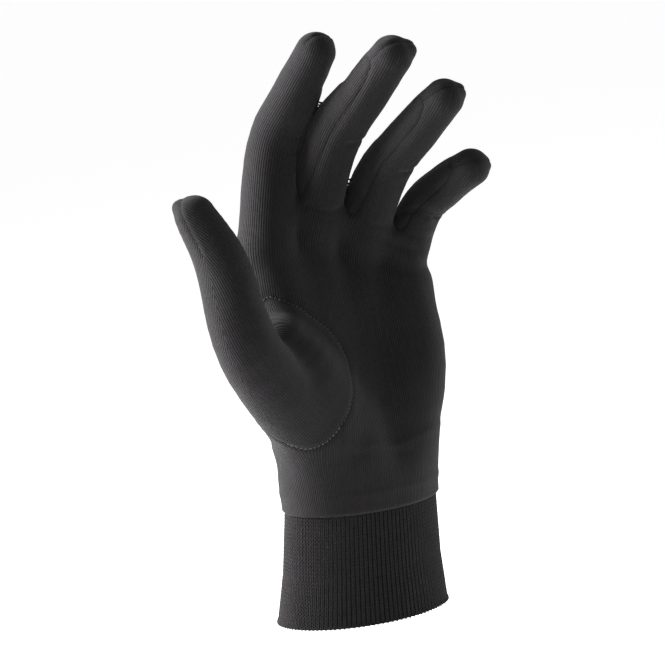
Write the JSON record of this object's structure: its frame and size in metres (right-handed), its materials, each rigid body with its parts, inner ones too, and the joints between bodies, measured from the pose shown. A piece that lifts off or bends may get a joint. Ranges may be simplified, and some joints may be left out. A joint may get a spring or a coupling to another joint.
{
  "type": "glove liner",
  "caption": "Knitted liner glove for the left hand with a ribbed wrist cuff, set-in thumb and side strips between the fingers, held in a relaxed worn shape.",
  "frame": {"origin": "centre of the wrist opening, at the cuff's lower edge", "axes": "+Z along the wrist towards the fingertips, -Y out of the palm, +X towards the little finger"},
  "size_m": [0.1337, 0.0837, 0.2426],
  "materials": {
    "jersey": "fine brushed jersey knit, near black",
    "rib_knit": "one by one rib knit, near black"
  },
  "bodies": {
    "root": {"palm_panel": "jersey", "back_panel": "jersey", "thumb": "jersey", "fourchette_index_middle": "jersey", "fourchette_middle_ring": "jersey", "fourchette_ring_little": "jersey", "rib_cuff": "rib_knit"}
  },
  "joints": []
}
